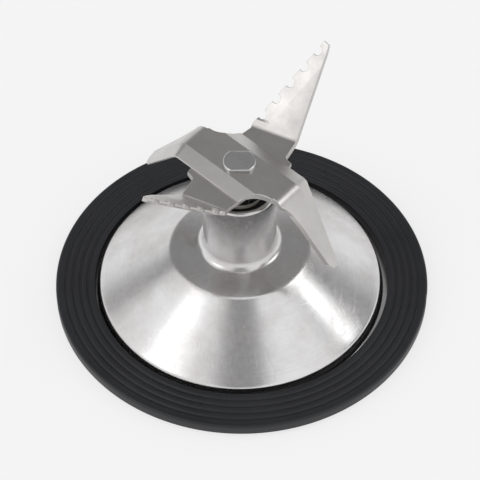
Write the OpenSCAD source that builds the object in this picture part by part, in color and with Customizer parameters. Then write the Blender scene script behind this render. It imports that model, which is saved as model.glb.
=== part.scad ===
// Blender blade unit: pressed base, neck with bearings, spindle, two crossed blades, loose sealing ring.
// Millimetres. +Z up, origin on the spindle axis at the flange's underside, front of the unit towards -Y.

/* [Sealing ring] */
// outer radius of the rubber ring
ring_outer_r = 40; // [30:0.5:60]
// width of the rubber ring, from its inner to its outer edge
ring_width = 8.5; // [6:0.1:14]
// play between the ring and the base's wall
ring_slack = 1.1; // [0.8:0.1:3]
// thickness of the rubber ring
ring_height = 2.5; // [1.5:0.1:5]
// rounding of the ring's outer top edge
ring_top_round = 0.5; // [0.1:0.1:1]
// rounding of the ring's other edges
ring_edge_round = 0.3; // [0.1:0.1:1]
// how far the loose ring lies to the right of the axis
ring_offset = 0.35; // [-0.8:0.05:0.8]
// number of concentric grooves in the top face
groove_count = 4; // [1:1:6]
// distance from the ring's outer edge to its outermost groove
groove_margin = 2.1; // [1:0.1:4]
// radial distance from groove to groove
groove_pitch = 1.6; // [1:0.1:3]
// radius of a groove's round section
groove_section_r = 0.4; // [0.2:0.05:0.6]
// height of the groove's centre above the ring's top face
groove_lift = 0.1; // [0:0.05:0.3]

/* [Base plate] */
// thickness of the stainless sheet
sheet = 0.8; // [0.5:0.1:1.2]
// how far the ring reaches out past the flange under it
flange_inset = 2; // [0:0.1:4]
// height of the wall's top corner over the underside
wall_top = 3.4; // [2:0.1:8]
// radius where cone and shelf meet
shelf_r = 14.7; // [11:0.1:20]
// height where cone and shelf meet
shelf_z = 13.5; // [8:0.1:20]
// height of the shelf's line at the neck
shelf_neck_z = 15.2; // [9:0.1:22]
// outer radius of the neck
neck_r = 7.7; // [6:0.1:10]
// height of the neck's rim
neck_top = 31.8; // [20:0.1:45]
// rounding at the foot of the wall
foot_round = 0.6; // [0.2:0.1:1.5]
// rounding of the wall's top corner
wall_round = 1.3; // [0.9:0.1:2.5]
// rounding between cone and shelf
shelf_round = 3; // [1:0.5:8]
// hollow rounding at the foot of the neck
neck_foot_round = 2; // [1:0.1:4]
// rounding of the neck's rim
rim_round = 0.7; // [0.2:0.05:0.75]

/* [Bearing] */
// height of the lower bush's underside
lower_bush_z = 13.4; // [12:0.1:16]
// length of the lower bush
lower_bush_length = 7; // [4:0.5:9]
// height of the oil felt
felt_height = 3; // [1:0.5:6]
// length of the upper bush without its nose
upper_bush_length = 4; // [3:0.5:9]
// outer radius of the upper bush's nose
nose_r = 4.9; // [4.6:0.1:6]
// height of the nose
nose_height = 3; // [1:0.1:4]
// height of the rubber seal around the nose
seal_height = 2.8; // [1:0.1:4]
// thickness of the thrust washers
washer_thick = 0.7; // [0.4:0.1:1.5]
// outer radius of the washer under the lower bush
bottom_washer_r = 5.8; // [5:0.1:6.5]

/* [Spindle] */
// radius of the journal
journal_r = 4; // [3:0.1:5]
// radius of the collar under the blades
collar_r = 5; // [4.6:0.1:7]
// chamfer of the collar
collar_chamfer = 0.4; // [0.1:0.1:0.8]
// radius of the double-D tenon through the blades
tenon_r = 3.1; // [2.5:0.1:4]
// distance from the axis to the tenon's flats
tenon_flat = 2.4; // [1.8:0.1:3]
// radius of the riveted head
head_r = 3.4; // [3:0.1:5]
// distance from the axis to the head's flats
head_flat = 2.7; // [2:0.1:4]
// height of the riveted head
head_height = 0.8; // [0.4:0.1:1.5]
// chamfer round the riveted head
head_chamfer = 0.2; // [0.1:0.05:0.4]
// radius at the bottom of the ring groove
groove_floor_r = 3.4; // [2.6:0.1:4.5]
// thickness of the retaining ring
clip_thick = 1; // [0.6:0.1:1.5]
// outer radius of the retaining ring
clip_r = 5.2; // [4.8:0.1:6]
// width of the square drive end
drive_width = 5.6; // [4:0.1:7]
// height of the drive end's tip over the underside
drive_tip_z = 3; // [1:0.5:6]
// height where the square ends
drive_top_z = 9.5; // [6:0.5:11]
// chamfer of the drive end's tip
drive_chamfer = 0.8; // [0.2:0.1:1.5]

/* [Blades] */
// thickness of each blade
blade_thick = 1.5; // [1:0.1:2]
// inner radius of the wing folds
fold_r = 1.5; // [0.5:0.1:3]
// height of the gap from the neck's rim to the lower blade
blade_gap = 4.1; // [2:0.1:8]

/* [Lower blade] */
// direction of the lower blade's first wing
lower_turn = 63; // [0:1:180]
// distance from the axis to the fold
lower_fold_at = 11.1; // [9:0.1:15]
// angle by which the wings are bent up
lower_bend_angle = 44.5; // [0:0.5:60]
// leading edge at the fold, from the wing's middle line
lower_lead = 3.1; // [2:0.1:6]
// trailing edge, from the wing's middle line
lower_trail = 7.1; // [5:0.1:9]
// hub corner along the wing
lower_hub_x = 4.9; // [3:0.1:7]
// hub corner across the wing
lower_hub_y = 8.95; // [7:0.05:11]
// length of the wing beyond its fold
lower_wing = 20.7; // [12:0.1:30]
// slope of the toothed edge
tooth_slope = 0.43; // [0.2:0.01:0.6]
// number of round notches in each wing
notch_count = 5; // [1:1:8]
// distance from the fold's end to the first notch
notch_first = 2.35; // [1.5:0.05:5]
// distance from notch to notch along the wing
notch_pitch = 4; // [2.5:0.1:6]
// radius of a notch
notch_r = 1; // [0.5:0.05:1.5]
// how far inside the edge the notch's centre lies
notch_inset = 0.25; // [0:0.05:0.6]
// width of the ground bevel on the wing's inner face
lower_grind = 3; // [1:0.1:5]
// distance from the fold's end to the start of the bevel on the inner face
grind_start = 1; // [0.6:0.1:2]
// depth of the bevel on the inner face at the edge
lower_inner_depth = 0.4; // [0.1:0.05:0.8]
// depth of the bevel on the outer face at the edge
lower_outer_depth = 0.65; // [0.1:0.05:0.9]
// width of the bevel on the outer face
lower_outer_grind = 2.2; // [1:0.1:4]

/* [Upper blade] */
// direction of the upper blade's first wing
upper_turn = -40; // [-90:1:90]
// distance from the axis to the fold
upper_fold_at = 11.4; // [9:0.1:15]
// angle by which the wings are bent down
upper_bend_angle = 49.5; // [0:0.5:60]
// leading edge at the fold, from the wing's middle line
upper_lead = 6; // [4:0.1:8]
// trailing edge at the fold, from the wing's middle line
upper_trail = 3.3; // [2:0.1:6]
// hub corner along the wing
upper_hub_x = 6; // [4:0.1:8]
// hub corner across the wing
upper_hub_y = 7.5; // [6:0.1:10]
// radius of the hollow between hub corner and wing
waist_r = 4.8; // [3:0.1:7]
// centre of the hollow along the wing
waist_x = 10.7; // [8:0.1:13]
// centre of the hollow across the wing
waist_y = 8.4; // [6:0.1:11]
// length of the wing beyond its fold
upper_wing = 17.7; // [10:0.1:28]
// leading edge at the wing's tip
upper_tip_lead = 2.4; // [1:0.1:5]
// trailing edge at the wing's tip
upper_tip_trail = 0.7; // [0:0.1:3]
// width of the ground bevel
upper_grind = 3.1; // [1:0.1:5]
// depth of the bevel at the edge
upper_depth = 1.15; // [0.5:0.05:1.3]

/* [Fits] */
// radial clearance of the spindle in its bearings
running_gap = 0.04; // [0.02:0.01:0.1]
// clearance of seated pieces that do not turn
seat_gap = 0.03; // [0.01:0.01:0.08]
// gap between the top washer and the spindle's collar
thrust_gap = 0.05; // [0.02:0.01:0.1]
// axial play of the spindle at its lower washer
end_play = 0.1; // [0.05:0.05:0.3]

/* [Hidden] */
$fn = 96;

rubber = [0.13, 0.13, 0.14];
steel = [0.78, 0.78, 0.79];
blade_steel = [0.66, 0.66, 0.66];
bronze = [0.62, 0.47, 0.28];
felt = [0.75, 0.72, 0.63];
pale = [0.85, 0.84, 0.8];

ring_inner_r = ring_outer_r - ring_width;
flange_r = ring_outer_r - flange_inset;
wall_r = ring_inner_r - ring_slack;
cone_slope = (shelf_z - wall_top) / (wall_r - shelf_r);
shelf_slope = (shelf_neck_z - shelf_z) / (shelf_r - neck_r);
cone_drop = sheet * sqrt(1 + cone_slope * cone_slope);
shelf_drop = sheet * sqrt(1 + shelf_slope * shelf_slope);
inner_wall_r = wall_r - sheet;
inner_neck_r = neck_r - sheet;
inner_corner_z = wall_top + cone_slope * sheet - cone_drop;
inner_shift = (cone_drop - shelf_drop) / (cone_slope - shelf_slope);
inner_shelf_r = shelf_r - inner_shift;
inner_shelf_z = shelf_z - shelf_drop + shelf_slope * inner_shift;
inner_neck_z = shelf_z - shelf_drop + shelf_slope * (shelf_r - inner_neck_r);

felt_z = lower_bush_z + lower_bush_length;
upper_bush_z = felt_z + felt_height;
nose_z = upper_bush_z + upper_bush_length;
top_washer_z = nose_z + nose_height;
collar_z = top_washer_z + washer_thick + thrust_gap;
lower_blade_z = neck_top + blade_gap;
upper_blade_z = lower_blade_z + blade_thick;
head_z = upper_blade_z + blade_thick;
bottom_washer_z = lower_bush_z - end_play - washer_thick;
clip_z = bottom_washer_z - clip_thick;
bore_r = journal_r + running_gap;
run_out = 0.03;
upper_edge_end = 0.932 * upper_wing;
tooth_end = [0.976 * lower_wing, lower_lead - tooth_slope * 0.976 * lower_wing];

function unit(v) = v / norm(v);
function turned(a, b) = a[0] * b[1] - a[1] * b[0];
function back(p, i) = unit(p[(i + len(p) - 1) % len(p)] - p[i]);
function ahead(p, i) = unit(p[(i + 1) % len(p)] - p[i]);
function half_angle(p, i) = acos(back(p, i) * ahead(p, i)) / 2;
function reach(p, r, i) = r[i] / tan(half_angle(p, i));
function centre(p, r, i) = p[i] + unit(back(p, i) + ahead(p, i)) * r[i] / sin(half_angle(p, i));
function convex(p, i) = turned(ahead(p, i), back(p, i)) > 0;
function first_end(p, r, i) = p[i] + back(p, i) * reach(p, r, i);
function last_end(p, r, i) = p[i] + ahead(p, i) * reach(p, r, i);
function corner(p, r, i) = r[i] > 0 ? [first_end(p, r, i), last_end(p, r, i)] : [p[i]];

// round end of corner i, cut from the circle that touches both its sides
module corner_sector(p, r, i) {
    intersection() {
        polygon([first_end(p, r, i), p[i], last_end(p, r, i), centre(p, r, i)]);
        translate(centre(p, r, i)) circle(r[i]);
    }
}

// outline whose corners, listed anticlockwise, are rounded by the radii in r
module rounded(p, r) {
    difference() {
        union() {
            polygon([for (i = [0:len(p) - 1]) each corner(p, r, i)]);
            for (i = [0:len(p) - 1])
                if (r[i] > 0 && convex(p, i)) corner_sector(p, r, i);
        }
        for (i = [0:len(p) - 1])
            if (r[i] > 0 && !convex(p, i)) corner_sector(p, r, i);
    }
}

module plain_ring(outer, inner, height) {
    difference() {
        cylinder(r = outer, h = height);
        translate([0, 0, -1]) cylinder(r = inner, h = height + 2);
    }
}

module double_d(radius, flat) {
    intersection() {
        circle(radius);
        square([3 * radius, 2 * flat], center = true);
    }
}

module sealing_ring() {
    color(rubber)
    translate([ring_offset, 0, sheet])
    rotate_extrude()
    difference() {
        rounded([[ring_inner_r, 0], [ring_outer_r, 0],
                 [ring_outer_r, ring_height], [ring_inner_r, ring_height]],
                [ring_edge_round, ring_edge_round, ring_top_round, ring_edge_round]);
        for (i = [0:groove_count - 1])
            translate([ring_outer_r - groove_margin - i * groove_pitch, ring_height + groove_lift])
                circle(groove_section_r);
    }
}

module base_plate() {
    color(steel)
    rotate_extrude()
    difference() {
        rounded([[0, 0], [flange_r, 0], [flange_r, sheet], [wall_r, sheet], [wall_r, wall_top],
                 [shelf_r, shelf_z], [neck_r, shelf_neck_z], [neck_r, neck_top], [0, neck_top]],
                [0, 0, 0, foot_round, wall_round, shelf_round, neck_foot_round, rim_round, 0]);
        rounded([[-1, -1], [flange_r + 1, -1], [flange_r + 1, 0], [inner_wall_r, 0],
                 [inner_wall_r, inner_corner_z], [inner_shelf_r, inner_shelf_z],
                 [inner_neck_r, inner_neck_z], [inner_neck_r, neck_top + 1], [-1, neck_top + 1]],
                [0, 0, 0, foot_round + sheet, wall_round - sheet, shelf_round - sheet,
                 neck_foot_round + sheet, 0, 0]);
    }
}

module lower_bush() {
    color(bronze)
    translate([0, 0, lower_bush_z]) plain_ring(inner_neck_r, bore_r, lower_bush_length);
}

module oil_felt() {
    color(felt)
    translate([0, 0, felt_z]) plain_ring(inner_neck_r - seat_gap, bore_r, felt_height);
}

module upper_bush() {
    color(bronze)
    translate([0, 0, upper_bush_z])
    difference() {
        union() {
            cylinder(r = inner_neck_r, h = upper_bush_length);
            cylinder(r = nose_r, h = upper_bush_length + nose_height);
        }
        translate([0, 0, -1]) cylinder(r = bore_r, h = upper_bush_length + nose_height + 2);
    }
}

module shaft_seal() {
    color(rubber)
    translate([0, 0, nose_z])
    rotate_extrude()
    rounded([[nose_r, 0], [inner_neck_r, 0], [inner_neck_r, seal_height], [nose_r, seal_height]],
            [0, 0, 0.4, 0.4]);
}

module top_washer() {
    color(pale)
    translate([0, 0, top_washer_z]) plain_ring(nose_r, bore_r, washer_thick);
}

module bottom_washer() {
    color(steel)
    translate([0, 0, bottom_washer_z]) plain_ring(bottom_washer_r, bore_r, washer_thick);
}

module retaining_ring() {
    color(blade_steel)
    translate([0, 0, clip_z])
    difference() {
        union() {
            cylinder(r = clip_r, h = clip_thick);
            for (side = [-1, 1])
                translate([clip_r - 0.3, side * 1.9, 0]) cylinder(r = 1.1, h = clip_thick);
        }
        translate([0, 0, -1]) cylinder(r = groove_floor_r + seat_gap, h = clip_thick + 2);
        translate([0, -0.8, -1]) cube([clip_r + 2, 1.6, clip_thick + 2]);
        for (side = [-1, 1])
            translate([clip_r - 0.2, side * 1.95, -1]) cylinder(r = 0.5, h = clip_thick + 2);
    }
}

module spindle() {
    color(steel) {
        difference() {
            translate([0, 0, drive_top_z]) cylinder(r = journal_r, h = collar_z - drive_top_z + 0.5);
            translate([0, 0, clip_z - seat_gap]) plain_ring(journal_r + 1, groove_floor_r,
                                                            clip_thick + seat_gap);
        }
        intersection() {
            translate([-drive_width / 2, -drive_width / 2, drive_tip_z])
                cube([drive_width, drive_width, drive_top_z - drive_tip_z + 0.5]);
            translate([0, 0, drive_tip_z])
                cylinder(r1 = drive_width / 2 * 1.25 - drive_chamfer,
                         r2 = drive_width / 2 * 1.25 - drive_chamfer + drive_top_z - drive_tip_z + 0.5,
                         h = drive_top_z - drive_tip_z + 0.5);
            translate([0, 0, drive_tip_z])
                cylinder(r = journal_r - 0.15, h = drive_top_z - drive_tip_z + 0.5);
        }
        translate([0, 0, collar_z]) cylinder(r1 = collar_r - collar_chamfer, r2 = collar_r, h = collar_chamfer);
        translate([0, 0, collar_z + collar_chamfer])
            cylinder(r = collar_r, h = lower_blade_z - collar_z - collar_chamfer);
        translate([0, 0, lower_blade_z - 0.5])
            linear_extrude(head_z - lower_blade_z + 1) double_d(tenon_r, tenon_flat);
        intersection() {
            translate([0, 0, head_z]) linear_extrude(head_height) double_d(head_r, head_flat);
            translate([0, 0, head_z])
                cylinder(r = head_r, h = head_height - head_chamfer);
        }
        translate([0, 0, head_z + head_height - head_chamfer])
            intersection() {
                linear_extrude(head_chamfer)
                    double_d(head_r, head_flat - head_chamfer / 2);
                cylinder(r1 = head_r, r2 = head_r - head_chamfer, h = head_chamfer);
            }
    }
}

// bevel cutter: edge from a to b, face height z, bevel width and depth at the edge, extra length before a
module bevel(a, b, z, width, depth, extra) {
    run = b - a;
    translate([a[0], a[1], z])
    rotate([0, 0, atan2(run[1], run[0])])
    translate([-extra, 0, 0])
    rotate([90, 0, 90])
    linear_extrude(norm(run) + extra + 3)
    polygon([[-width, 0], [1, -depth * (width + 1) / width], [1, 1], [-width, 1]]);
}

// hub and both wings as one bent strip of sheet, wings down, as wide as the widest outline needs
module bent_sheet(at, angle, wing, half_width) {
    outer_r = fold_r + blade_thick;
    along = [cos(angle), -sin(angle)];
    outward = [sin(angle), cos(angle)];
    inner_end = [at, -fold_r] + outward * fold_r + along * wing;
    outer_end = [at, -fold_r] + outward * outer_r + along * wing;
    inner_x = at + fold_r * tan(angle / 2);
    outer_x = at + outer_r * tan(angle / 2);
    rotate([90, 0, 0])
    translate([0, 0, -half_width])
    linear_extrude(2 * half_width)
    rounded([[-inner_end[0], inner_end[1]], [-inner_x, 0], [inner_x, 0], inner_end, outer_end,
             [outer_x, blade_thick], [-outer_x, blade_thick], [-outer_end[0], outer_end[1]]],
            [0, fold_r, fold_r, 0, 0, outer_r, outer_r, 0]);
}

// cuts the bevel of the leading edge where the sheet is in its fold, a little shallower than the flat
// bevels before and after it, so that they run out into it
module fold_bevel(at, angle, lead, width, full_depth) {
    outer_r = fold_r + blade_thick;
    depth = full_depth - run_out;
    translate([at, 0, -fold_r])
    rotate([-90, -90, 0])
    rotate_extrude(angle = angle)
    polygon([[outer_r, lead - width], [outer_r - depth * (width + 1) / width, lead + 1],
             [outer_r + 1, lead + 1], [outer_r + 1, lead - width]]);
}

// carries flat wing geometry, drawn from x = 0 with its underside at z = 0, to the end of a downward fold
module beyond_fold(at, angle) {
    translate([at, 0, -fold_r])
    rotate([0, angle, 0])
    translate([0, 0, fold_r])
    children();
}

// a cutter of this outline through the whole wing
module through_wing() {
    translate([0, 0, -2]) linear_extrude(blade_thick + 4) children();
}

// hole for the tenon, flats always parallel to X
module tenon_hole(turn) {
    rotate(-turn) double_d(tenon_r + seat_gap, tenon_flat + seat_gap);
}

// the blade's outline from above, its wings still running straight out
module upper_plan() {
    far = upper_fold_at + upper_wing;
    difference() {
        polygon([[-upper_hub_x, upper_hub_y], [-upper_fold_at, upper_trail], [-far, upper_trail],
                 [-far, -upper_lead], [-upper_fold_at, -upper_lead],
                 [upper_hub_x, -upper_hub_y], [upper_fold_at, -upper_trail], [far, -upper_trail],
                 [far, upper_lead], [upper_fold_at, upper_lead]]);
        for (side = [-1, 1])
            translate([side * waist_x, -side * waist_y]) circle(waist_r);
        tenon_hole(upper_turn);
    }
}

// all round the wing's narrowing outline, from the trailing edge at the fold to the leading edge there
module upper_wing_waste() {
    tip = upper_wing;
    narrowing = upper_trail - upper_tip_trail;
    tip_width = upper_tip_lead + upper_tip_trail;
    polygon([[0, -upper_trail], [0.068 * tip, -upper_trail + 0.31 * narrowing],
             [0.164 * tip, -upper_trail + 0.54 * narrowing],
             [0.367 * tip, -upper_trail + 0.75 * narrowing], [0.898 * tip, -upper_tip_trail],
             [0.994 * tip, 0.39 * tip_width - upper_tip_trail],
             [tip, 0.74 * tip_width - upper_tip_trail], [upper_edge_end, upper_tip_lead],
             [0, upper_lead], [0, upper_lead + 2], [tip + 2, upper_lead + 2],
             [tip + 2, -upper_trail - 2], [0, -upper_trail - 2]]);
}

module upper_blade() {
    color(blade_steel)
    translate([0, 0, upper_blade_z])
    rotate([0, 0, upper_turn])
    difference() {
        intersection() {
            bent_sheet(upper_fold_at, upper_bend_angle, upper_wing + 1, upper_hub_y + 1);
            translate([0, 0, -upper_wing - 3])
                linear_extrude(upper_wing + blade_thick + 4) upper_plan();
        }
        for (half = [0, 180])
            rotate([0, 0, half]) {
                bevel([-upper_hub_x, upper_hub_y], [upper_fold_at, upper_lead], blade_thick,
                      upper_grind, upper_depth, 3);
                fold_bevel(upper_fold_at, upper_bend_angle, upper_lead, upper_grind, upper_depth);
                beyond_fold(upper_fold_at, upper_bend_angle) {
                    through_wing() upper_wing_waste();
                    bevel([0, upper_lead], [upper_edge_end, upper_tip_lead], blade_thick,
                          upper_grind, upper_depth, 3);
                }
            }
    }
}

// the blade's outline from above, its wings still running straight out
module lower_plan() {
    far = lower_fold_at + lower_wing;
    difference() {
        polygon([[-lower_hub_x, lower_hub_y], [-1.184 * lower_hub_x, 0.989 * lower_hub_y],
                 [-0.586 * lower_fold_at, 1.056 * lower_trail],
                 [-0.631 * lower_fold_at, lower_trail],
                 [-far, lower_trail], [-far, -lower_lead], [-lower_fold_at, -lower_lead],
                 [lower_hub_x, -lower_hub_y], [1.184 * lower_hub_x, -0.989 * lower_hub_y],
                 [0.586 * lower_fold_at, -1.056 * lower_trail],
                 [0.631 * lower_fold_at, -lower_trail],
                 [far, -lower_trail], [far, lower_lead], [lower_fold_at, lower_lead]]);
        tenon_hole(lower_turn);
    }
}

// beyond the tip and the toothed edge, with the round notches
module lower_wing_waste() {
    tip = lower_wing;
    polygon([[0.88 * tip, -lower_trail], [0.971 * tip, -0.986 * lower_trail],
             [tip, -0.803 * lower_trail],
             tooth_end, [0, lower_lead], [0, lower_lead + 2], [tip + 2, lower_lead + 2],
             [tip + 2, -lower_trail - 2], [0.88 * tip, -lower_trail - 2]]);
    for (i = [0:notch_count - 1])
        translate([notch_first + i * notch_pitch,
                   lower_lead - tooth_slope * (notch_first + i * notch_pitch) - notch_inset])
            circle(notch_r);
}

// drawn with its wings bent down, then mirrored, so its underside here is the finished blade's top
module lower_blade() {
    color(blade_steel)
    translate([0, 0, lower_blade_z + blade_thick])
    mirror([0, 0, 1])
    rotate([0, 0, lower_turn])
    difference() {
        intersection() {
            bent_sheet(lower_fold_at, lower_bend_angle, lower_wing + 1, lower_hub_y + 1);
            translate([0, 0, -lower_wing - 3])
                linear_extrude(lower_wing + blade_thick + 4) lower_plan();
        }
        for (half = [0, 180])
            rotate([0, 0, half]) {
                bevel([-lower_hub_x, lower_hub_y], [lower_fold_at, lower_lead], blade_thick,
                      lower_outer_grind, lower_outer_depth, 3);
                fold_bevel(lower_fold_at, lower_bend_angle, lower_lead, lower_outer_grind,
                           lower_outer_depth);
                beyond_fold(lower_fold_at, lower_bend_angle) {
                    through_wing() lower_wing_waste();
                    bevel([0, lower_lead], tooth_end, blade_thick, lower_outer_grind,
                          lower_outer_depth, 3);
                    mirror([0, 0, 1])
                        bevel([0, lower_lead], tooth_end, 0, lower_grind, lower_inner_depth,
                              -grind_start);
                }
            }
    }
}

sealing_ring();
base_plate();
lower_bush();
oil_felt();
upper_bush();
shaft_seal();
top_washer();
bottom_washer();
retaining_ring();
spindle();
lower_blade();
upper_blade();
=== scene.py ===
"""Looks of the blender blade unit: pressed steel base, crossed blades, loose rubber sealing ring.

Sizes are in millimetres until a mesh is made, then metres, in the CAD frame: +Z up along the spindle,
the front of the unit towards -Y.
"""

import logging
import math
from dataclasses import dataclass
from enum import Enum
from typing import Callable, Sequence

import bmesh
import bpy
import numpy as np
from mathutils import Matrix, Vector
from mathutils.geometry import delaunay_2d_cdt


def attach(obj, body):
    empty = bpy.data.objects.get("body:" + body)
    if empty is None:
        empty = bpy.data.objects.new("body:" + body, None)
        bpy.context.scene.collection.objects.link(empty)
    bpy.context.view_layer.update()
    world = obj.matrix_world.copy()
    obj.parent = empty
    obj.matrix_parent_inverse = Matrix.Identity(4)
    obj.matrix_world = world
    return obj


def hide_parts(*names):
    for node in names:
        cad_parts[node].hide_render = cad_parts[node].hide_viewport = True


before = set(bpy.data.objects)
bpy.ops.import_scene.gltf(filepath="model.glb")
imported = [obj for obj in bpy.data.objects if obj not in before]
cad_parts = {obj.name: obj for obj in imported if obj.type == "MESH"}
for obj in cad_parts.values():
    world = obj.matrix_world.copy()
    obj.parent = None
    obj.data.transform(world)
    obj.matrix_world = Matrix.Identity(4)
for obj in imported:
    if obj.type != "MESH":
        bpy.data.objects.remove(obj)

MM = 0.001
LOG = logging.getLogger("blade_unit")
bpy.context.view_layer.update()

Point = tuple[float, float]
Colour = tuple[float, float, float]


class Body(Enum):
    """The two bodies of the unit."""

    STILL = "base"
    SPINS = "cutter"


class Grain(Enum):
    """How a metal surface was worked."""

    TURNED = "turned"
    GROUND = "ground"
    PLAIN = "plain"


# ---- shader helpers ----


class Shader:
    """A procedural material in the making, reading Object coordinates."""

    def __init__(self, name: str) -> None:
        """Starts an empty material with an output, a Principled shader and coordinates."""
        self.material = bpy.data.materials.new(name)
        self.material.use_nodes = True
        self.tree = self.material.node_tree
        self.tree.nodes.clear()
        self.surface = self.add("ShaderNodeBsdfPrincipled")
        output = self.add("ShaderNodeOutputMaterial")
        self.join(self.surface.outputs["BSDF"], output.inputs["Surface"])
        self.place = self.add("ShaderNodeTexCoord").outputs["Object"]

    def add(self, kind: str, **settings: object) -> bpy.types.Node:
        """Adds a node and sets its attributes."""
        node = self.tree.nodes.new(kind)
        for key, value in settings.items():
            setattr(node, key, value)
        return node

    def join(self, source: bpy.types.NodeSocket, target: bpy.types.NodeSocket) -> None:
        """Links two sockets."""
        self.tree.links.new(source, target)

    def stretched(self, scale: tuple[float, float, float], turn: float = 0.0) -> bpy.types.NodeSocket:
        """Object coordinates turned about Z and stretched.

        Args:
            scale: factor for each axis, in features per metre.
            turn: angle about Z in degrees, applied before the scale.

        Returns:
            The mapped vector.
        """
        spin = self.add("ShaderNodeMapping", vector_type="TEXTURE")
        spin.inputs["Rotation"].default_value = (0.0, 0.0, math.radians(turn))
        self.join(self.place, spin.inputs["Vector"])
        size = self.add("ShaderNodeMapping", vector_type="POINT")
        size.inputs["Scale"].default_value = scale
        self.join(spin.outputs["Vector"], size.inputs["Vector"])
        return size.outputs["Vector"]

    def noise(self, vector: bpy.types.NodeSocket, scale: float, detail: float = 3.0,
              roughness: float = 0.55) -> bpy.types.NodeSocket:
        """Noise in 3-D, as a factor."""
        node = self.add("ShaderNodeTexNoise")
        node.inputs["Scale"].default_value = scale
        node.inputs["Detail"].default_value = detail
        node.inputs["Roughness"].default_value = roughness
        self.join(vector, node.inputs["Vector"])
        return node.outputs["Fac"]

    def radius_noise(self, scale: float) -> bpy.types.NodeSocket:
        """Noise that changes with the distance from the spindle's axis and with height only."""
        parts = self.add("ShaderNodeSeparateXYZ")
        self.join(self.place, parts.inputs["Vector"])
        flat = self.add("ShaderNodeCombineXYZ")
        self.join(parts.outputs["X"], flat.inputs["X"])
        self.join(parts.outputs["Y"], flat.inputs["Y"])
        length = self.add("ShaderNodeVectorMath", operation="LENGTH")
        self.join(flat.outputs["Vector"], length.inputs[0])
        both = self.add("ShaderNodeCombineXYZ")
        self.join(length.outputs["Value"], both.inputs["X"])
        self.join(parts.outputs["Z"], both.inputs["Y"])
        return self.noise(both.outputs["Vector"], scale, 4.0, 0.65)

    def ranged(self, value: bpy.types.NodeSocket, low: float, high: float, out_low: float,
               out_high: float) -> bpy.types.NodeSocket:
        """Maps a value from one range to another, held at the ends."""
        node = self.add("ShaderNodeMapRange", clamp=True)
        for key, number in (("From Min", low), ("From Max", high), ("To Min", out_low),
                            ("To Max", out_high)):
            node.inputs[key].default_value = number
        self.join(value, node.inputs["Value"])
        return node.outputs["Result"]

    def math(self, operation: str, a: bpy.types.NodeSocket,
             b: "bpy.types.NodeSocket | float") -> bpy.types.NodeSocket:
        """A two-input Math node."""
        node = self.add("ShaderNodeMath", operation=operation)
        self.join(a, node.inputs[0])
        if isinstance(b, (int, float)):
            node.inputs[1].default_value = b
        else:
            self.join(b, node.inputs[1])
        return node.outputs["Value"]

    def blended(self, factor: bpy.types.NodeSocket, dark: Colour, light: Colour) -> bpy.types.NodeSocket:
        """Mixes two colours by a factor."""
        node = self.add("ShaderNodeMix", data_type="RGBA")
        node.inputs["A"].default_value = (*dark, 1.0)
        node.inputs["B"].default_value = (*light, 1.0)
        for socket in node.inputs:
            if socket.identifier == "A_Color":
                socket.default_value = (*dark, 1.0)
            if socket.identifier == "B_Color":
                socket.default_value = (*light, 1.0)
        self.join(factor, node.inputs["Factor"])
        return next(s for s in node.outputs if s.identifier == "Result_Color")

    def bumped(self, height: bpy.types.NodeSocket, strength: float, depth: float,
               below: "bpy.types.NodeSocket | None" = None) -> bpy.types.NodeSocket:
        """A bump from a height; depth is in metres at full height."""
        node = self.add("ShaderNodeBump")
        node.inputs["Strength"].default_value = strength
        node.inputs["Distance"].default_value = depth
        self.join(height, node.inputs["Height"])
        if below is not None:
            self.join(below, node.inputs["Normal"])
        return node.outputs["Normal"]


@dataclass(frozen=True)
class Metal:
    """A bare metal with its working marks, smears and scratches."""

    name: str
    colour: Colour
    smear: Colour
    roughness: float
    spread: float = 0.06
    grain: Grain = Grain.TURNED
    turn: float = 0.0
    grain_depth: float = 0.004
    scratches: float = 0.5

    def make(self) -> bpy.types.Material:
        """Builds the material.

        Returns:
            The finished material.
        """
        s = Shader(self.name)
        s.surface.inputs["Metallic"].default_value = 1.0
        clouds = s.noise(s.place, 95.0, 4.0, 0.6)
        fine = s.noise(s.place, 900.0, 4.0, 0.7)
        if self.grain is Grain.GROUND:
            lines = s.noise(s.stretched((90.0, 2600.0, 2600.0), self.turn), 1.0, 4.0, 0.7)
        elif self.grain is Grain.TURNED:
            lines = s.radius_noise(2600.0)
        else:
            lines = fine
        tone = s.math("MULTIPLY", s.ranged(clouds, 0.36, 0.62, 0.25, 1.0),
                      s.ranged(lines, 0.3, 0.55, 0.8, 1.0))
        s.join(s.blended(tone, self.smear, self.colour), s.surface.inputs["Base Color"])
        rough = s.math("ADD", s.ranged(clouds, 0.3, 0.7, self.roughness + self.spread,
                                       self.roughness),
                       s.ranged(fine, 0.3, 0.7, -0.4 * self.spread, 0.4 * self.spread))
        s.join(rough, s.surface.inputs["Roughness"])
        first = s.bumped(lines, 0.6, self.grain_depth * MM)
        second = s.bumped(self.cuts(s), self.scratches, 0.006 * MM, first)
        s.join(second, s.surface.inputs["Normal"])
        return s.material

    def cuts(self, s: Shader) -> bpy.types.NodeSocket:
        """Height of a few long hairline scratches in two directions, and of tiny pits."""
        height = None
        for turn, size in ((24.0, 2300.0), (-63.0, 1900.0), (80.0, 2800.0)):
            bands = s.noise(s.stretched((22.0, size, 700.0), turn + self.turn), 1.0, 1.0, 0.4)
            line = s.ranged(bands, 0.69, 0.73, 1.0, 0.0)
            height = line if height is None else s.math("MULTIPLY", height, line)
        pits = s.ranged(s.noise(s.place, 1500.0, 1.0, 0.4), 0.74, 0.79, 1.0, 0.0)
        return s.math("MULTIPLY", height, pits)


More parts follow.
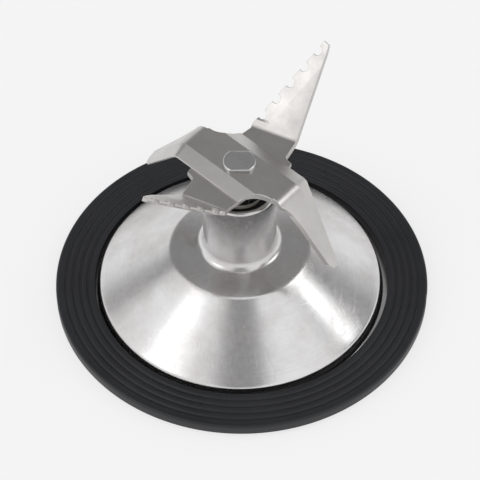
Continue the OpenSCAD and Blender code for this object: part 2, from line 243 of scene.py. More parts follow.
@dataclass(frozen=True)
class Rubber:
    """Moulded black rubber with a faint bloom, dust and a soft skin."""

    name: str
    colour: Colour = (0.0125, 0.0132, 0.0155)
    bloom: Colour = (0.026, 0.027, 0.031)
    roughness: float = 0.42

    def make(self) -> bpy.types.Material:
        """Builds the material.

        Returns:
            The finished material.
        """
        s = Shader(self.name)
        s.surface.inputs["Specular IOR Level"].default_value = 0.42
        clouds = s.noise(s.place, 60.0, 5.0, 0.6)
        skin = s.noise(s.place, 5200.0, 3.0, 0.6)
        rings = s.radius_noise(1300.0)
        dust = s.ranged(s.noise(s.place, 1700.0, 2.0, 0.6), 0.71, 0.76, 0.0, 1.0)
        tone = s.math("MAXIMUM", s.math("MULTIPLY", s.ranged(clouds, 0.35, 0.7, 0.0, 0.7),
                                        s.ranged(rings, 0.3, 0.7, 0.5, 1.0)),
                      s.math("MULTIPLY", dust, 0.9))
        s.join(s.blended(tone, self.colour, self.bloom), s.surface.inputs["Base Color"])
        s.join(s.ranged(clouds, 0.3, 0.7, self.roughness - 0.05, self.roughness + 0.09),
               s.surface.inputs["Roughness"])
        first = s.bumped(skin, 0.5, 0.012 * MM)
        s.join(s.bumped(rings, 0.35, 0.012 * MM, first), s.surface.inputs["Normal"])
        return s.material


@dataclass(frozen=True)
class Dull:
    """A dull open material, such as pressed felt, sintered bronze or filled plastic."""

    name: str
    colour: Colour
    pores: Colour
    roughness: float
    metallic: float = 0.0
    size: float = 2200.0
    depth: float = 0.03

    def make(self) -> bpy.types.Material:
        """Builds the material.

        Returns:
            The finished material.
        """
        s = Shader(self.name)
        s.surface.inputs["Metallic"].default_value = self.metallic
        grains = s.noise(s.place, self.size, 4.0, 0.7)
        clouds = s.noise(s.place, 240.0, 3.0, 0.6)
        s.join(s.blended(s.ranged(grains, 0.34, 0.6, 0.0, 1.0), self.pores, self.colour),
               s.surface.inputs["Base Color"])
        s.join(s.ranged(clouds, 0.3, 0.7, self.roughness - 0.08, self.roughness + 0.08),
               s.surface.inputs["Roughness"])
        s.join(s.bumped(grains, 0.6, self.depth * MM), s.surface.inputs["Normal"])
        return s.material


FINISHES = {
    "black_rubber": Rubber("black_rubber"),
    "seal_rubber": Rubber("seal_rubber", (0.01, 0.01, 0.011), (0.02, 0.02, 0.022), 0.5),
    "pressed_steel": Metal("pressed_steel", (0.70, 0.695, 0.70), (0.56, 0.54, 0.53), 0.17, 0.10,
                           Grain.TURNED, 0.0, 0.0035, 0.5),
    "turned_steel": Metal("turned_steel", (0.66, 0.66, 0.67), (0.50, 0.49, 0.48), 0.2, 0.1,
                          Grain.TURNED, 0.0, 0.006, 0.35),
    "lower_ground": Metal("lower_ground", (0.60, 0.585, 0.57), (0.47, 0.455, 0.44), 0.30, 0.08,
                          Grain.GROUND, 63.0, 0.006, 0.4),
    "upper_ground": Metal("upper_ground", (0.62, 0.605, 0.59), (0.50, 0.485, 0.47), 0.30, 0.08,
                          Grain.GROUND, -40.0, 0.006, 0.4),
    "spring_steel": Metal("spring_steel", (0.24, 0.24, 0.26), (0.12, 0.11, 0.10), 0.35, 0.1,
                          Grain.PLAIN, 0.0, 0.008, 0.4),
    "bronze": Dull("bronze", (0.42, 0.27, 0.12), (0.16, 0.10, 0.05), 0.42, 1.0),
    "felt": Dull("felt", (0.50, 0.45, 0.34), (0.28, 0.24, 0.17), 0.9, 0.0, 1500.0, 0.12),
    "pale_plastic": Dull("pale_plastic", (0.62, 0.60, 0.55), (0.5, 0.48, 0.43), 0.45, 0.0,
                         900.0, 0.01),
}


# ---- meshes ----


def tidy(mesh: bpy.types.Mesh, sharp: float) -> bpy.types.Mesh:
    """Merges doubles, points the faces outwards and shades them smooth up to an angle.

    Args:
        mesh: the mesh, closed.
        sharp: edges above this many degrees stay sharp.

    Returns:
        The same mesh.
    """
    work = bmesh.new()
    work.from_mesh(mesh)
    bmesh.ops.remove_doubles(work, verts=work.verts, dist=1e-7)
    if work.calc_volume(signed=True) < 0:
        bmesh.ops.reverse_faces(work, faces=work.faces)
    loose = sum(not e.is_manifold for e in work.edges)
    if loose:
        LOG.warning("%s has %d open edges", mesh.name, loose)
    work.to_mesh(mesh)
    work.free()
    mesh.polygons.foreach_set("use_smooth", [True] * len(mesh.polygons))
    mesh.set_sharp_from_angle(angle=math.radians(sharp))
    return mesh


def placed(name: str, mesh: bpy.types.Mesh, slot: str, finish: str, body: Body,
           *nodes: str) -> bpy.types.Object:
    """Makes a piece from a mesh, dresses it and lets it ride on its body in place of CAD nodes."""
    mesh.materials.clear()
    mesh.materials.append(MATERIALS[finish])
    piece = bpy.data.objects.new(name, mesh)
    bpy.context.scene.collection.objects.link(piece)
    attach(piece, body.value)
    if nodes:
        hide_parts(*nodes)
    LOG.info("%s: %d faces on %s", name, len(mesh.polygons), body.value)
    return piece


def rounded(corners: Sequence[Point], radii: Sequence[float], step: float = 7.5) -> list[Point]:
    """Rounds the corners of a closed outline.

    Args:
        corners: the sharp corners in order.
        radii: one radius for each corner, 0 to keep it sharp.
        step: angle in degrees between points of an arc.

    Returns:
        The outline with its arcs as short lines.
    """
    found: list[Point] = []
    count = len(corners)
    for i, radius in enumerate(radii):
        here = Vector(corners[i])
        before = (Vector(corners[i - 1]) - here).normalized()
        after = (Vector(corners[(i + 1) % count]) - here).normalized()
        if radius <= 0:
            found.append((here.x, here.y))
            continue
        half = math.acos(max(-1.0, min(1.0, before.dot(after)))) / 2
        middle = here + (before + after).normalized() * radius / math.sin(half)
        start = here + before * radius / math.tan(half) - middle
        sweep = math.pi - 2 * half
        side = 1.0 if before.x * after.y - before.y * after.x < 0 else -1.0
        steps = max(2, math.ceil(math.degrees(sweep) / step))
        for k in range(steps + 1):
            turn = side * sweep * k / steps
            c, n = math.cos(turn), math.sin(turn)
            found.append((middle.x + start.x * c - start.y * n,
                          middle.y + start.x * n + start.y * c))
    return found


class TurnedTree:
    """Geometry Nodes that carry a closed section round the spindle's axis."""

    def __init__(self) -> None:
        """Builds the tree with its named inputs."""
        self.tree = bpy.data.node_groups.new("turned_section", "GeometryNodeTree")
        face = self.tree.interface
        face.new_socket(name="Section", in_out="INPUT", socket_type="NodeSocketGeometry")
        self.sockets = {
            name: face.new_socket(name=name, in_out="INPUT", socket_type=kind).identifier
            for name, kind in (("Steps round", "NodeSocketInt"), ("Mean radius", "NodeSocketFloat"),
                               ("Material", "NodeSocketMaterial"))}
        face.new_socket(name="Piece", in_out="OUTPUT", socket_type="NodeSocketGeometry")
        add, join = self.tree.nodes.new, self.tree.links.new
        given, made = add("NodeGroupInput"), add("NodeGroupOutput")
        section, circle = add("GeometryNodeMeshToCurve"), add("GeometryNodeCurvePrimitiveCircle")
        sweep, smooth = add("GeometryNodeCurveToMesh"), add("GeometryNodeSetShadeSmooth")
        real, paint = add("GeometryNodeRealizeInstances"), add("GeometryNodeSetMaterial")
        join(given.outputs["Section"], section.inputs["Mesh"])
        join(given.outputs["Steps round"], circle.inputs["Resolution"])
        join(given.outputs["Mean radius"], circle.inputs["Radius"])
        join(circle.outputs["Curve"], sweep.inputs["Curve"])
        join(section.outputs["Curve"], sweep.inputs["Profile Curve"])
        join(sweep.outputs["Mesh"], smooth.inputs["Geometry"])
        join(smooth.outputs["Geometry"], real.inputs["Geometry"])
        join(real.outputs["Geometry"], paint.inputs["Geometry"])
        join(given.outputs["Material"], paint.inputs["Material"])
        join(paint.outputs["Geometry"], made.inputs["Piece"])

    def sweep(self, name: str, section: Sequence[Point], steps: int, finish: str) -> bpy.types.Mesh:
        """Turns a closed section into a plain mesh.

        Args:
            name: name of the mesh.
            section: points (radius, height) in millimetres, anticlockwise.
            steps: number of steps round the axis.
            finish: key of the finish.

        Returns:
            The mesh in metres.
        """
        mean = sum(p[0] for p in section) / len(section) * MM
        points = [(p[0] * MM - mean, -p[1] * MM, 0.0) for p in section]
        line = bpy.data.meshes.new(name + "_section")
        line.from_pydata(points, [(i, (i + 1) % len(points)) for i in range(len(points))], [])
        carrier = bpy.data.objects.new(name + "_section", line)
        bpy.context.scene.collection.objects.link(carrier)
        step = carrier.modifiers.new("turned", "NODES")
        step.node_group = self.tree
        step[self.sockets["Steps round"]] = steps
        step[self.sockets["Mean radius"]] = mean
        step[self.sockets["Material"]] = MATERIALS[finish]
        graph = bpy.context.evaluated_depsgraph_get()
        made = bpy.data.meshes.new_from_object(carrier.evaluated_get(graph))
        made.name = name
        bpy.data.objects.remove(carrier)
        return made


@dataclass
class SealingRing:
    """The loose black rubber ring with its concentric grooves."""

    outer: float = 40.0
    width: float = 8.5
    height: float = 2.5
    seat: float = 0.8
    offset: float = 0.35
    grooves: int = 4
    groove_margin: float = 2.1
    groove_pitch: float = 1.6
    groove_radius: float = 0.4
    groove_lift: float = 0.1
    nick_angle: float = -8.3

    def section(self) -> list[Point]:
        """The ring's section, anticlockwise, with its grooves."""
        inner = self.outer - self.width
        outline = rounded([(inner, 0), (self.outer, 0), (self.outer, self.height),
                           (inner, self.height)], [0.3, 0.3, 0.5, 0.3], 9.0)
        top = next(i for i, point in enumerate(outline) if point[1] > self.height - 1e-6)
        reach = math.acos(self.groove_lift / self.groove_radius)
        points: list[Point] = []
        for i in range(self.grooves):
            middle = self.outer - self.groove_margin - i * self.groove_pitch
            lip = self.groove_radius * math.sin(reach) + 0.07
            points.append((middle + lip, self.height))
            for k in range(13):
                turn = reach * 0.94 * (1 - 2 * k / 12)
                points.append((middle + self.groove_radius * math.sin(turn),
                               self.height + self.groove_lift - self.groove_radius * math.cos(turn)))
            points.append((middle - lip, self.height))
        return outline[:top + 1] + points + outline[top + 1:]

    def build(self) -> None:
        """Makes the ring, moves it off centre and presses in the mould's nick."""
        section = [(r, z + self.seat) for r, z in self.section()]
        mesh = TURNED.sweep("sealing_ring_moulded", section, 360, "black_rubber")
        at = math.radians(self.nick_angle)
        for v in mesh.vertices:
            radius, angle = math.hypot(v.co.x, v.co.y), math.atan2(v.co.y, v.co.x)
            near = math.exp(-((angle - at) * self.outer / 0.45) ** 2)
            rim = max(0.0, 1 - (self.outer * MM - radius) / (0.8 * MM))
            v.co.x -= 0.18 * MM * near * rim * math.cos(angle)
            v.co.y -= 0.18 * MM * near * rim * math.sin(angle)
            wave = 0.03 * MM * math.sin(3 * angle + 0.6) * max(0.0, v.co.z / MM - self.seat - 1)
            v.co.z -= abs(wave)
        mesh.transform(Matrix.Translation((self.offset * MM, 0, 0)))
        placed("sealing_ring_moulded", tidy(mesh, 55), "black_rubber", "black_rubber",
               Body.STILL, "sealing_ring")


@dataclass
class BasePlate:
    """The pressing: flange, short wall, cone, shelf and drawn neck."""

    sheet: float = 0.8
    flange: float = 38.0
    wall: float = 30.4
    wall_top: float = 3.4
    shelf: float = 14.7
    shelf_height: float = 13.5
    neck_height: float = 15.2
    neck: float = 7.7
    rim: float = 31.8

    def section(self) -> list[Point]:
        """The sheet's section from the flange to the neck's rim, anticlockwise."""
        cone = (self.shelf_height - self.wall_top) / (self.wall - self.shelf)
        ledge = (self.neck_height - self.shelf_height) / (self.shelf - self.neck)
        cone_drop = self.sheet * math.sqrt(1 + cone * cone)
        ledge_drop = self.sheet * math.sqrt(1 + ledge * ledge)
        in_wall, in_neck = self.wall - self.sheet, self.neck - self.sheet
        shift = (cone_drop - ledge_drop) / (cone - ledge)
        return rounded(
            [(in_wall, 0), (self.flange, 0), (self.flange, self.sheet), (self.wall, self.sheet),
             (self.wall, self.wall_top), (self.shelf, self.shelf_height),
             (self.neck, self.neck_height), (self.neck, self.rim), (in_neck, self.rim),
             (in_neck, self.shelf_height - ledge_drop + ledge * (self.shelf - in_neck)),
             (self.shelf - shift, self.shelf_height - ledge_drop + ledge * shift),
             (in_wall, self.wall_top + cone * self.sheet - cone_drop)],
            [1.4, 0.12, 0.12, 0.6, 1.3, 3.0, 2.0, 0.62, 0.12, 2.8, 2.2, 0.5], 5.0)

    def build(self) -> None:
        """Makes the pressing, a little out of true as deep-drawn sheet is."""
        mesh = TURNED.sweep("base_plate_pressed", dense(self.section(), 1.2), 360, "pressed_steel")
        for v in mesh.vertices:
            radius, angle = math.hypot(v.co.x, v.co.y) / MM, math.atan2(v.co.y, v.co.x)
            cone = max(0.0, min(1.0, (29.0 - radius) / 3)) * max(0.0, min(1.0, (radius - 11.0) / 3))
            v.co.z -= MM * cone * (0.02 + 0.016 * math.sin(2 * angle + 0.9)
                                   + 0.010 * math.sin(5 * angle + radius * 0.25))
        placed("base_plate_pressed", tidy(mesh, 40), "pressed_steel", "pressed_steel",
               Body.STILL, "base_plate")


def dense(points: Sequence[Point], longest: float) -> list[Point]:
    """Divides the long lines of a closed outline."""
    found: list[Point] = []
    for a, b in zip(points, [*points[1:], points[0]]):
        parts = max(1, math.ceil(math.dist(a, b) / longest))
        found += [(a[0] + (b[0] - a[0]) * k / parts, a[1] + (b[1] - a[1]) * k / parts)
                  for k in range(parts)]
    return found


@dataclass
class ShaftSeal:
    """The rubber seal in the mouth of the neck, with a small lip on top."""

    inner: float = 4.9
    outer: float = 6.9
    floor: float = 27.4
    height: float = 2.8

    def build(self) -> None:
        """Makes the seal."""
        top = self.floor + self.height
        section = rounded([(self.inner, self.floor), (self.outer, self.floor), (self.outer, top),
                           (self.outer - 0.6, top), (self.outer - 0.9, top - 0.3),
                           (self.inner + 0.7, top - 0.3), (self.inner + 0.5, top),
                           (self.inner, top)],
                          [0.1, 0.1, 0.2, 0.1, 0.1, 0.1, 0.1, 0.2], 15.0)
        mesh = TURNED.sweep("shaft_seal_moulded", section, 96, "seal_rubber")
        placed("shaft_seal_moulded", tidy(mesh, 50), "seal_rubber", "seal_rubber",
               Body.STILL, "shaft_seal")


def double_d(radius: float, flat: float) -> Callable[[float], float]:
    """Distance from the axis to a round with two flats, by angle."""
    return lambda turn: min(radius, flat / max(1e-6, abs(math.sin(turn))))


def round_bar(radius: float) -> Callable[[float], float]:
    """Distance from the axis to a round bar's surface."""
    return lambda turn: radius


def square_bar(half: float, round_to: float) -> Callable[[float], float]:
    """Distance from the axis to a square bar with rounded corners, by angle."""
    return lambda turn: min(round_to, half / max(abs(math.cos(turn)), abs(math.sin(turn))))


@dataclass
class Spindle:
    """The turned spindle: square drive end, journal, collar, tenon and riveted head."""

    steps: int = 180
    collar: float = 5.0
    journal: float = 4.0
    head_top: float = 39.7

    def levels(self) -> list[tuple[float, Callable[[float], float]]]:
        """Heights and outlines from the drive end up to the riveted head."""
        c, j = self.collar, self.journal
        square, head = square_bar(2.8, 3.85), double_d(3.4, 2.7)
        return [
            (3.0, square_bar(2.2, 2.75)), (3.08, square_bar(2.35, 2.95)),
            (3.8, square_bar(2.8, 3.5)), (4.3, square), (9.5, square), (9.5, round_bar(j - 0.12)),
            (9.62, round_bar(j)), (11.57, round_bar(j)), (11.57, round_bar(3.4)),
            (12.6, round_bar(3.4)), (12.6, round_bar(j)), (31.15, round_bar(j)),
            (31.15, round_bar(c - 0.4)), (31.55, round_bar(c)), (35.78, round_bar(c)),
            (35.9, round_bar(c - 0.12)), (35.9, double_d(3.1, 2.4)), (38.9, double_d(3.1, 2.4)),
            (38.9, double_d(3.33, 2.64)), (38.97, head), (39.42, head),
            (39.56, double_d(3.33, 2.66)), (39.66, double_d(3.2, 2.57)),
            (self.head_top, double_d(3.0, 2.42))]

    def build(self) -> None:
        """Makes the spindle as stacked outlines, its head flattened by the riveting tool."""
        made = bmesh.new()
        rings = []
        angles = [2 * math.pi * (k + 0.5) / self.steps for k in range(self.steps)]
        levels = self.levels()
        for height, outline in levels:
            rings.append([made.verts.new((outline(a) * math.cos(a) * MM,
                                          outline(a) * math.sin(a) * MM, height * MM))
                          for a in angles])
        last = levels[-1][1]
        for share in (0.8, 0.55, 0.3, 0.1):
            rings.append([made.verts.new(self.head_point(share * last(a), a)) for a in angles])
        for low, high in zip(rings, rings[1:]):
            for k in range(self.steps):
                n = (k + 1) % self.steps
                made.faces.new((low[k], low[n], high[n], high[k]))
        made.faces.new(list(reversed(rings[0])))
        made.faces.new(rings[-1])
        mesh = bpy.data.meshes.new("spindle_turned")
        made.to_mesh(mesh)
        made.free()
        placed("spindle_turned", tidy(mesh, 28), "turned_steel", "turned_steel",
               Body.SPINS, "spindle")

    def head_point(self, radius: float, angle: float) -> tuple[float, float, float]:
        """A point of the head's top, struck a little lower on its left and dished in the middle."""
        x, y = radius * math.cos(angle), radius * math.sin(angle)
        crease = 0.055 * math.tanh((x + 0.35 * y) * 2.2) * max(0.0, 1 - (radius / 3.0) ** 4)
        return x * MM, y * MM, (self.head_top + 0.02 + crease * (1 - 0.2 * y)) * MM


@dataclass
class Blade:
    """A blade of bent sheet, drawn flat along U with its wings down, then folded.

    The fields are named as in the part's source: lead and trail are the wing's edges at the fold.
    """

    name: str
    node: str
    finish: str
    level: float
    turn: float
    at: float
    bend: float
    lead: float
    trail: float
    hub: Point
    wing: float
    grind: float
    depth: float
    thick: float = 1.5
    fold: float = 1.5
    ease: float = 0.08
    tenon: Point = (3.13, 2.43)
    upward: bool = False
    inner_grind: float = 0.0
    inner_depth: float = 0.0
    grind_start: float = 1.0
    edge_end: Point = (0.0, 0.0)

    def __post_init__(self) -> None:
        """Works out the fold's length in the flat, and where the wing begins."""
        self.fold_length = math.radians(self.bend) * (self.fold + self.thick / 2)
        self.wing_start = self.at + self.fold_length

    def half_outline(self) -> list[Point]:
        """One wing's side of the outline, anticlockwise; the blade types give their own."""
        raise NotImplementedError

    def outline(self) -> list[Point]:
        """The whole flat outline."""
        half = self.half_outline()
        return half + [(-u, -y) for u, y in half]

    def tables(self) -> tuple[list[float], list[float], list[float]]:
        """Edge line and bevel width along U: positions, edge heights, widths across."""
        slope_hub = (self.lead - self.hub[1]) / (self.at + self.hub[0])
        slope_wing = (self.edge_end[1] - self.lead) / self.edge_end[0]
        first, last = -self.hub[0] - 6.0, self.wing_start + self.wing + 3.0
        width_hub = self.grind * math.hypot(1, slope_hub)
        width_wing = self.grind * math.hypot(1, slope_wing)
        return ([first, self.at, self.wing_start, last],
                [self.lead - slope_hub * (self.at - first), self.lead, self.lead,
                 self.lead + slope_wing * (last - self.wing_start)],
                [width_hub, width_hub, width_wing, width_wing])

    def share(self, u: float, y: float, width: float) -> float:
        """How far a point lies into the bevel: 0 at its ridge, 1 at the edge."""
        places, edges, widths = self.tables()
        if u < places[0]:
            return 0.0
        across = float(np.interp(u, places, widths)) * width / self.grind
        edge = float(np.interp(u, places, edges))
        return max(0.0, (y - edge + across) / across)

    def top(self, u: float, y: float) -> float:
        """Height of the outer face over the sheet's inner face."""
        deepest = max(self.share(u, y, self.grind), self.share(-u, -y, self.grind))
        return self.thick - self.depth * deepest

    def bottom(self, u: float, y: float) -> float:
        """Height of the inner face, which some blades have ground too."""
        if not self.inner_grind:
            return 0.0
        if u < 0:
            u, y = -u, -y
        start = self.wing_start + self.grind_start
        ramp = max(0.0, min(1.0, (u - start) / 0.5))
        return self.inner_depth * ramp * self.share(u, y, self.inner_grind)

    def folded(self, u: float, y: float, h: float) -> Vector:
        """A point of the flat sheet in its place on the bent blade, in metres."""
        side, s = (1.0 if u >= 0 else -1.0), abs(u)
        if s <= self.at:
            x, z = s, h
        else:
            turn = math.radians(self.bend) * min(1.0, (s - self.at) / self.fold_length)
            past = max(0.0, s - self.wing_start)
            x = self.at + (self.fold + h) * math.sin(turn) + past * math.cos(turn)
            z = -self.fold + (self.fold + h) * math.cos(turn) - past * math.sin(turn)
        if self.upward:
            z = self.thick - z
        spin = math.radians(self.turn)
        px, py = side * x, y
        return Vector((px * math.cos(spin) - py * math.sin(spin),
                       px * math.sin(spin) + py * math.cos(spin), self.level + z)) * MM

    def lines(self) -> list[tuple[Point, Point]]:
        """Lines that the faces must follow: the fold's steps and the ridges of the bevels."""
        found: list[tuple[Point, Point]] = []
        places, edges, widths = self.tables()
        steps = 14
        marks = [self.at + self.fold_length * k / steps for k in range(steps + 1)]
        if self.inner_grind:
            marks += [self.wing_start + self.grind_start + 0.5 * k for k in (0, 1)]
        for u in marks:
            found += [((side * u, -14.0), (side * u, 14.0)) for side in (1, -1)]
        ridges = [self.grind] + ([self.inner_grind] if self.inner_grind else [])
        for width in ridges:
            for i in range(3):
                a = (places[i], edges[i] - widths[i] * width / self.grind)
                b = (places[i + 1], edges[i + 1] - widths[i + 1] * width / self.grind)
                found += [(a, b), ((-a[0], -a[1]), (-b[0], -b[1]))]
        return found

    def tenon_outline(self) -> list[Point]:
        """The hole for the tenon, turned back so that its flats lie along X."""
        spin, bore = -math.radians(self.turn), double_d(*self.tenon)
        angles = [2 * math.pi * k / 64 for k in range(64)]
        return [(bore(a) * math.cos(a + spin), bore(a) * math.sin(a + spin)) for a in angles]

    def build(self) -> None:
        """Makes the blade with eased edges and dresses it."""
        loops = [dense(self.outline(), 1.5), self.tenon_outline()]
        inner = [inset(loops[0], self.ease), inset(loops[1], -self.ease)]
        points: list[Vector] = []
        edges: list[tuple[int, int]] = []
        for loop in loops + inner:
            base = len(points)
            points += [Vector(p) for p in loop]
            edges += [(base + i, base + (i + 1) % len(loop)) for i in range(len(loop))]
        for a, b in self.lines():
            edges.append((len(points), len(points) + 1))
            points += [Vector(a), Vector(b)]
        verts, _, faces, *_ = delaunay_2d_cdt(points, edges, [], 0, 1e-5)
        flat = [tuple(v) for v in verts]
        kept = [f for f in faces
                if inside(middle(flat, f), loops[0]) and not inside(middle(flat, f), loops[1])]
        self.assemble(flat, kept)

    def assemble(self, flat: list[Point], kept: list[Sequence[int]]) -> None:
        """Stands both faces and the side walls on the flat triangles."""
        sides: dict[tuple[int, int], int] = {}
        for f in kept:
            for a, b in zip(f, [*f[1:], f[0]]):
                sides[(a, b)] = sides.get((a, b), 0) + 1
        walls = [e for e in sides if (e[1], e[0]) not in sides]
        rim = {i for e in walls for i in e}
        used = sorted({i for f in kept for i in f})
        made = bmesh.new()
        upper, lower = {}, {}
        for i in used:
            u, y = flat[i]
            ease = self.ease if i in rim else 0.0
            top, bottom = self.top(u, y), self.bottom(u, y)
            if top - bottom < 0.3:
                ease = min(ease, (top - bottom) / 4)
            upper[i] = made.verts.new(self.folded(u, y, top - ease))
            lower[i] = made.verts.new(self.folded(u, y, bottom + ease))
        for f in kept:
            made.faces.new([upper[i] for i in f])
            made.faces.new([lower[i] for i in reversed(f)])
        for a, b in walls:
            made.faces.new((upper[b], upper[a], lower[a], lower[b]))
        mesh = bpy.data.meshes.new(self.name)
        made.to_mesh(mesh)
        made.free()
        placed(self.name, tidy(mesh, 9), "blade_steel", self.finish, Body.SPINS, self.node)


@dataclass
class UpperBlade(Blade):
    """The blade with plain edges and wings bent down."""

    tip_lead: float = 2.4
    tip_trail: float = 0.7
    waist: tuple[float, float, float] = (10.7, 8.4, 4.8)

    def half_outline(self) -> list[Point]:
        """Hollow waist, narrowing wing, tip and straight leading edge."""
        cx, cy, r = self.waist
        tip, start = self.wing, self.wing_start
        narrow, width = self.trail - self.tip_trail, self.tip_lead + self.tip_trail
        waist = [(cx + r * math.cos(math.radians(a)), -cy + r * math.sin(math.radians(a)))
                 for a in np.linspace(169.3, 86.4, 22)]
        return waist + [
            (self.at, -self.trail), (start, -self.trail),
            (start + 0.068 * tip, -self.trail + 0.31 * narrow),
            (start + 0.164 * tip, -self.trail + 0.54 * narrow),
            (start + 0.367 * tip, -self.trail + 0.75 * narrow),
            (start + 0.898 * tip, -self.tip_trail),
            (start + 0.994 * tip, 0.39 * width - self.tip_trail),
            (start + tip, 0.74 * width - self.tip_trail),
            (start + 0.932 * tip, self.tip_lead), (start, self.lead), (self.at, self.lead)]


@dataclass
class LowerBlade(Blade):
    """The blade with round notches in its edges and wings bent up."""

    notches: int = 5
    notch_first: float = 2.35
    notch_pitch: float = 4.0
    notch_radius: float = 1.0
    notch_inset: float = 0.25
    slope: float = 0.43

    def half_outline(self) -> list[Point]:
        """Straight trailing edge, tip, and the toothed edge back to the fold."""
        tip, start, hx, hy = self.wing, self.wing_start, *self.hub
        outline = [(hx, -hy), (1.184 * hx, -0.989 * hy), (0.586 * self.at, -1.056 * self.trail),
                   (0.631 * self.at, -self.trail), (self.at, -self.trail), (start, -self.trail),
                   (start + 0.88 * tip, -self.trail), (start + 0.971 * tip, -0.986 * self.trail),
                   (start + tip, -0.803 * self.trail),
                   (start + 0.976 * tip, self.lead - self.slope * 0.976 * tip)]
        long = math.hypot(1, self.slope)
        out, along = (self.slope / long, 1 / long), (1 / long, -self.slope / long)
        lift = self.notch_inset / long
        open_at = math.degrees(math.acos(lift / self.notch_radius))
        for i in reversed(range(self.notches)):
            u = self.notch_first + i * self.notch_pitch
            centre = (start + u, self.lead - self.slope * u - self.notch_inset)
            for a in np.linspace(open_at, 360 - open_at, 19):
                c, n = math.cos(math.radians(a)), math.sin(math.radians(a))
                outline.append((centre[0] + self.notch_radius * (out[0] * c + along[0] * n),
                                centre[1] + self.notch_radius * (out[1] * c + along[1] * n)))
        return outline + [(start, self.lead), (self.at, self.lead)]


def middle(points: Sequence[Point], face: Sequence[int]) -> Point:
    """Centre of a flat face."""
    return (sum(points[i][0] for i in face) / len(face), sum(points[i][1] for i in face) / len(face))


def inside(point: Point, loop: Sequence[Point]) -> bool:
    """Whether a point lies inside a closed outline."""
    x, y = point
    found = False
    for (ax, ay), (bx, by) in zip(loop, [*loop[1:], loop[0]]):
        if (ay > y) != (by > y) and x < (bx - ax) * (y - ay) / (by - ay) + ax:
            found = not found
    return found


def inset(loop: Sequence[Point], by: float) -> list[Point]:
    """An outline moved inwards, or outwards where by is negative; the loop is anticlockwise."""
    found = []
    count = len(loop)
    for i in range(count):
        here = Vector(loop[i])
        a = (here - Vector(loop[i - 1])).normalized()
        b = (Vector(loop[(i + 1) % count]) - here).normalized()
        normal = Vector((-a.y - b.y, a.x + b.x))
        scale = max(0.3, (1 + a.dot(b)) / 2)
        found.append(tuple(here + normal.normalized() * by / math.sqrt(scale)))
    return found


# ---- studio ----


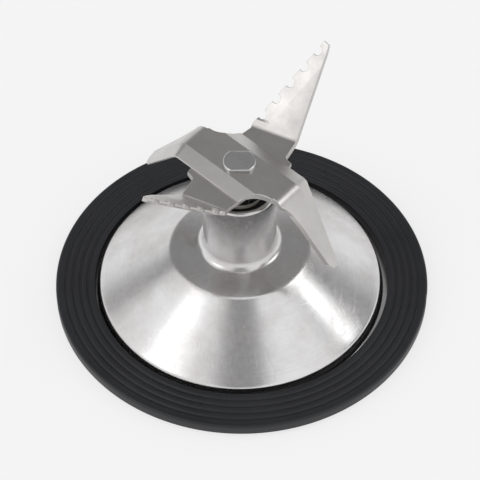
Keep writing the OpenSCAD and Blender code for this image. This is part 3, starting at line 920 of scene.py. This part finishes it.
@dataclass(frozen=True)
class Studio:
    """Camera, floor, lamps and world of the photograph."""

    focal_length: float = 150.0
    distance: float = 0.433
    elevation: float = 50.3
    roll: float = -0.29
    aim: tuple[float, float, float] = (0.0, 0.0, 0.0008)
    shift: Point = (-0.0002, 0.0904)

    def camera(self) -> None:
        """Makes the camera at the photograph's viewing angle."""
        data = bpy.data.cameras.new("camera")
        data.lens = self.focal_length
        data.sensor_width = 36.0
        data.shift_x, data.shift_y = self.shift
        data.clip_start, data.clip_end = 0.01, 20.0
        cam = bpy.data.objects.new("camera", data)
        bpy.context.scene.collection.objects.link(cam)
        tilt = math.radians(self.elevation)
        back = Vector((0.0, -math.cos(tilt), math.sin(tilt)))
        cam.location = Vector(self.aim) + back * self.distance
        turn = (-back).to_track_quat("-Z", "Y").to_matrix().to_4x4()
        spin = Matrix.Rotation(math.radians(self.roll), 4, "Z")
        cam.rotation_euler = (turn @ spin).to_euler()
        bpy.context.scene.camera = cam

    def colours(self) -> None:
        """Shows colours as they are written."""
        bpy.context.scene.view_settings.view_transform = "Standard"

    def floor(self) -> None:
        """A plain white floor that keeps a soft shadow and reads as white."""
        work = bmesh.new()
        bmesh.ops.create_circle(work, cap_ends=True, segments=96, radius=6.0)
        mesh = bpy.data.meshes.new("floor")
        work.to_mesh(mesh)
        work.free()
        floor = bpy.data.objects.new("floor", mesh)
        floor.location.z = -0.00003
        bpy.context.scene.collection.objects.link(floor)
        material = bpy.data.materials.new("floor")
        material.use_nodes = True
        tree = material.node_tree
        tree.nodes.clear()
        add, join = tree.nodes.new, tree.links.new
        paper, glow, mix = add("ShaderNodeBsdfDiffuse"), add("ShaderNodeEmission"), add("ShaderNodeMixShader")
        path, either, out = add("ShaderNodeLightPath"), add("ShaderNodeMath"), add("ShaderNodeOutputMaterial")
        third, share = add("ShaderNodeMath"), add("ShaderNodeMath")
        paper.inputs["Color"].default_value = (0.86, 0.86, 0.86, 1.0)
        either.operation = third.operation = "MAXIMUM"
        share.operation = "MULTIPLY"
        share.inputs[1].default_value = 0.72
        join(path.outputs["Is Camera Ray"], either.inputs[0])
        join(path.outputs["Is Glossy Ray"], either.inputs[1])
        join(either.outputs[0], third.inputs[0])
        join(path.outputs["Is Transmission Ray"], third.inputs[1])
        join(third.outputs[0], share.inputs[0])
        join(share.outputs[0], mix.inputs["Fac"])
        join(paper.outputs[0], mix.inputs[1])
        join(glow.outputs[0], mix.inputs[2])
        join(mix.outputs[0], out.inputs["Surface"])
        mesh.materials.append(material)

    def world(self) -> None:
        """A pale studio round the unit: white near the horizon, soft boxes above its front.

        The ceiling behind is grey, with a narrow gap between the two soft boxes.
        """
        world = bpy.data.worlds.new("studio")
        bpy.context.scene.world = world
        world.use_nodes = True
        tree = world.node_tree
        tree.nodes.clear()
        add, join = tree.nodes.new, tree.links.new
        where, parts = add("ShaderNodeTexCoord"), add("ShaderNodeSeparateXYZ")
        join(where.outputs["Generated"], parts.inputs["Vector"])
        x, y, z = (parts.outputs[k] for k in "XYZ")

        def calc(operation: str, a: object, b: object) -> bpy.types.NodeSocket:
            """A Math node on sockets or numbers."""
            node = add("ShaderNodeMath")
            node.operation = operation
            for socket, value in zip(node.inputs, (a, b)):
                if isinstance(value, (int, float)):
                    socket.default_value = value
                elif value is not None:
                    join(value, socket)
            return node.outputs[0]

        def soft(value: bpy.types.NodeSocket, low: float, high: float) -> bpy.types.NodeSocket:
            """A smooth step from 0 to 1."""
            node = add("ShaderNodeMapRange")
            node.interpolation_type = "SMOOTHSTEP"
            node.inputs["From Min"].default_value = low
            node.inputs["From Max"].default_value = high
            join(value, node.inputs["Value"])
            return node.outputs["Result"]

        high = soft(z, 0.22, 0.5)
        back = calc("ADD", y, calc("MULTIPLY", x, 0.27))
        ceiling = soft(back, 0.02, 0.16)
        strip = calc("MULTIPLY", soft(calc("ABSOLUTE", calc("ADD", x, -0.005), 0), 0.30, 0.13),
                     soft(y, -0.12, -0.26))
        above = calc("SUBTRACT", calc("SUBTRACT", 1.06, calc("MULTIPLY", ceiling, 0.76)),
                     calc("MULTIPLY", strip, 0.72))
        level = calc("ADD", calc("MULTIPLY", high, above), calc("SUBTRACT", 1.0, high))
        light, out = add("ShaderNodeBackground"), add("ShaderNodeOutputWorld")
        light.inputs["Color"].default_value = (1.0, 1.0, 1.0, 1.0)
        join(level, light.inputs["Strength"])
        join(light.outputs[0], out.inputs["Surface"])

    def lamps(self) -> None:
        """Two soft lamps for the highlights of the edges."""
        for name, place, size, power in (("left", (-0.75, -0.35, 0.8), 0.4, 0.6),
                                         ("right", (0.7, 0.15, 0.75), 0.35, 0.9)):
            data = bpy.data.lights.new("lamp_" + name, "AREA")
            data.shape, data.size, data.energy = "SQUARE", size, power
            lamp = bpy.data.objects.new("lamp_" + name, data)
            lamp.location = place
            lamp.rotation_euler = (-Vector(place)).to_track_quat("-Z", "Y").to_euler()
            bpy.context.scene.collection.objects.link(lamp)


MATERIALS = {key: finish.make() for key, finish in FINISHES.items()}
TURNED = TurnedTree()
INNER_NODES = {"lower_bush": "bronze", "oil_felt": "felt", "upper_bush": "bronze",
               "top_washer": "pale_plastic", "bottom_washer": "turned_steel",
               "retaining_ring": "spring_steel"}


def dress_inner_nodes() -> None:
    """Gives the CAD nodes inside the neck their finishes."""
    for node, finish in INNER_NODES.items():
        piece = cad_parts[node]
        piece.data.materials.clear()
        piece.data.materials.append(MATERIALS[finish])
        LOG.info("%s: CAD node with %s", node, finish)


def main() -> None:
    """Builds the unit and its studio."""
    logging.basicConfig(level=logging.INFO, format="%(message)s")
    studio = Studio()
    studio.camera()
    studio.colours()
    studio.floor()
    studio.world()
    studio.lamps()
    BasePlate().build()
    SealingRing().build()
    ShaftSeal().build()
    Spindle().build()
    LowerBlade("lower_blade_ground", "lower_blade", "lower_ground", 35.9, 63.0, 11.1, 44.5, 3.1, 7.1,
               (4.9, 8.95), 20.7, 2.2, 0.65, upward=True, inner_grind=3.0, inner_depth=0.4,
               edge_end=(20.2, 3.1 - 0.43 * 20.2)).build()
    UpperBlade("upper_blade_ground", "upper_blade", "upper_ground", 37.4, -40.0, 11.4, 49.5, 6.0, 3.3,
               (6.0, 7.5), 17.7, 3.1, 1.15, edge_end=(16.5, 2.4)).build()
    dress_inner_nodes()


if __name__ == "__main__":
    main()
